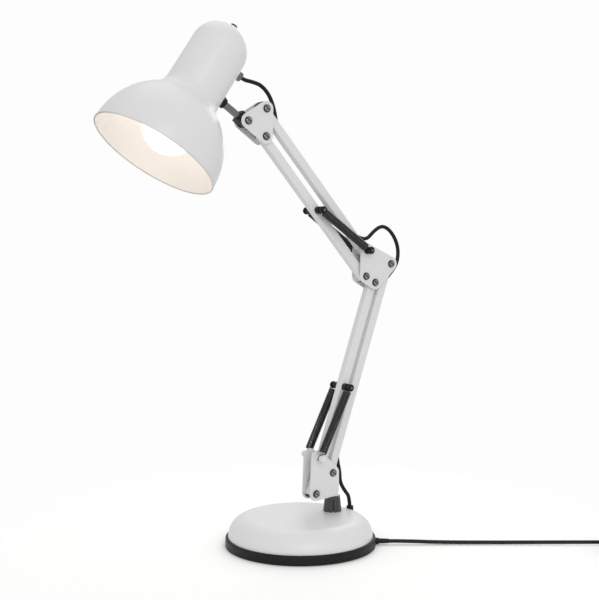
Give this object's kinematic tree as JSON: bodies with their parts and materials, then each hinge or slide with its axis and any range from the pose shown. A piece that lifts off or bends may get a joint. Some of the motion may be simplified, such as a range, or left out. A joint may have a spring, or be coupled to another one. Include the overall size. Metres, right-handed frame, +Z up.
{
  "type": "balanced-arm desk lamp",
  "caption": "White spring-balanced desk lamp with parallel square-tube arms, bell shade, round weighted base with black rim and a black mains cord.",
  "frame": {"origin": "middle of the base's underside, on the desk", "axes": "+Z up, -X towards the shade, the arms lie in the XZ plane"},
  "size_m": [0.6479, 0.3571, 0.5744],
  "materials": {
    "black_plastic": "moulded black plastic",
    "bright_steel": "turned steel",
    "cap_metal": "threaded aluminium",
    "cast_iron": "raw casting",
    "cord_pvc": "soft black PVC",
    "dark_zinc": "dark zinc plated steel",
    "felt": "black felt",
    "grey_plastic": "moulded dark grey plastic",
    "nylon": "natural nylon",
    "opal_glass": "opal white glass",
    "pin_metal": "nickel plated brass",
    "shade_paint": "satin white enamel, pale inside",
    "spring_steel": "oiled dark spring steel",
    "white_paint": "satin white powder coat"
  },
  "bodies": {
    "base": {"base_shell": "white_paint", "base_rim": "black_plastic", "base_weight": "cast_iron", "base_pad": "felt", "base_spacer": "bright_steel", "base_collar": "grey_plastic", "collar_nut": "dark_zinc", "lead_grommet": "black_plastic", "cord_gland": "black_plastic", "mains_cord": "cord_pvc", "mains_cord_coil": "cord_pvc", "cord_tie": "black_plastic", "plug_body": "black_plastic", "plug_pins": "pin_metal"},
    "foot_bracket": {"foot_plate_front": "white_paint", "foot_plate_rear": "white_paint", "foot_stem": "white_paint", "foot_spring_posts": "white_paint", "foot_fasteners": "dark_zinc"},
    "lower_rear_arm": {"lower_rear_tube": "white_paint", "lower_rear_plugs": "black_plastic", "lower_rear_washers": "nylon", "foot_lead": "cord_pvc"},
    "lower_front_arm": {"lower_front_tube": "white_paint", "lower_front_plugs": "black_plastic", "lower_front_washers": "nylon", "lower_spool_rod": "bright_steel"},
    "lower_spool_pair": {"lower_spools": "black_plastic"},
    "lower_spring_pair": {"lower_spring_front": "spring_steel", "lower_spring_rear": "spring_steel"},
    "elbow": {"elbow_plate_front": "white_paint", "elbow_plate_rear": "white_paint", "elbow_fasteners": "dark_zinc", "elbow_rod": "bright_steel", "elbow_lead": "cord_pvc"},
    "upper_rear_arm": {"upper_rear_tube": "white_paint", "upper_rear_plugs": "black_plastic", "upper_rear_washers": "nylon", "head_lead": "cord_pvc"},
    "upper_front_arm": {"upper_front_tube": "white_paint", "upper_front_plugs": "black_plastic", "upper_front_washers": "nylon", "upper_spool_rod": "bright_steel"},
    "upper_spool_pair": {"upper_spools": "black_plastic"},
    "upper_spring_pair": {"upper_spring_front": "spring_steel", "upper_spring_rear": "spring_steel", "elbow_spools": "black_plastic"},
    "head_bracket": {"head_plate_front": "white_paint", "head_plate_rear": "white_paint", "head_fasteners": "dark_zinc"},
    "knuckle": {"knuckle_block": "black_plastic", "knuckle_stem": "bright_steel"},
    "shade": {"shade_shell": "shade_paint", "shade_bush": "black_plastic", "lead_gland": "dark_zinc", "lampholder": "nylon", "bulb_glass": "opal_glass", "bulb_cap": "cap_metal", "switch_body": "nylon"},
    "button": {"switch_button": "grey_plastic"}
  },
  "joints": [
    {"name": "base_swivel", "type": "hinge", "parent": "base", "child": "foot_bracket", "pos_m": [0.0437, 0, 0.05], "axis": [0, 0, 1], "range_deg": [-150, 150], "deforming": ["foot_lead"]},
    {"name": "lower_arm", "type": "hinge", "parent": "foot_bracket", "child": "lower_rear_arm", "pos_m": [0.0388, 0, 0.0788], "axis": [0, 1, 0], "range_deg": [-60, 6], "deforming": ["lower_spring_front", "lower_spring_rear"]},
    {"name": "lower_front_pivot", "type": "hinge", "parent": "foot_bracket", "child": "lower_front_arm", "pos_m": [0.0158, 0, 0.0573], "axis": [0, 1, 0], "range_deg": [-60, 6]},
    {"name": "lower_spring_pivot", "type": "hinge", "parent": "foot_bracket", "child": "lower_spring_pair", "pos_m": [0.0178, 0, 0.0985], "axis": [0, 1, 0], "range_deg": [-85.5, 8.55]},
    {"name": "lower_spool_turn", "type": "hinge", "parent": "lower_front_arm", "child": "lower_spool_pair", "pos_m": [0.05669, 0, 0.17606], "axis": [0, 1, 0], "range_deg": [-25.5, 2.55]},
    {"name": "elbow_level", "type": "hinge", "parent": "lower_rear_arm", "child": "elbow", "pos_m": [0.12084, 0, 0.31707], "axis": [0, 1, 0], "range_deg": [-6, 60], "deforming": ["elbow_lead"]},
    {"name": "upper_arm", "type": "hinge", "parent": "elbow", "child": "upper_rear_arm", "pos_m": [0.08554, 0, 0.33287], "axis": [0, 1, 0], "range_deg": [-50, 18], "deforming": ["upper_spring_front", "upper_spring_rear"]},
    {"name": "upper_front_pivot", "type": "hinge", "parent": "elbow", "child": "upper_front_arm", "pos_m": [0.08484, 0, 0.30297], "axis": [0, 1, 0], "range_deg": [-50, 18]},
    {"name": "upper_spring_pivot", "type": "hinge", "parent": "elbow", "child": "upper_spring_pair", "pos_m": [0.08554, 0, 0.33287], "axis": [0, 1, 0], "range_deg": [-54.25, 19.53]},
    {"name": "upper_spool_turn", "type": "hinge", "parent": "upper_front_arm", "child": "upper_spool_pair", "pos_m": [0.01924, 0, 0.37791], "axis": [0, 1, 0], "range_deg": [-4.25, 1.53]},
    {"name": "head_level", "type": "hinge", "parent": "upper_rear_arm", "child": "head_bracket", "pos_m": [-0.0487, 0, 0.48621], "axis": [0, 1, 0], "range_deg": [-18, 50]},
    {"name": "head_tilt", "type": "hinge", "parent": "head_bracket", "child": "knuckle", "pos_m": [-0.0716, 0, 0.47181], "axis": [0, 1, 0], "range_deg": [-45, 45], "deforming": ["head_lead"]},
    {"name": "head_swivel", "type": "hinge", "parent": "knuckle", "child": "shade", "pos_m": [-0.0716, 0, 0.47181], "axis": [0.83, 0, -0.5577], "range_deg": [-90, 90]},
    {"name": "switch_press", "type": "slide", "parent": "shade", "child": "button", "axis": [-0.5577, 0, -0.83], "range_m": [0, 0.0025], "stiffness_N_per_m": 400, "springref_m": -0.001}
  ],
  "couplings": [
    {"joint": "lower_front_pivot", "follows": "lower_arm", "ratio": 1},
    {"joint": "lower_spring_pivot", "follows": "lower_arm", "ratio": 1.425},
    {"joint": "lower_spool_turn", "follows": "lower_arm", "ratio": 0.425},
    {"joint": "elbow_level", "follows": "lower_arm", "ratio": -1},
    {"joint": "upper_front_pivot", "follows": "upper_arm", "ratio": 1},
    {"joint": "upper_spring_pivot", "follows": "upper_arm", "ratio": 1.085},
    {"joint": "upper_spool_turn", "follows": "upper_arm", "ratio": 0.085},
    {"joint": "head_level", "follows": "upper_arm", "ratio": -1}
  ]
}
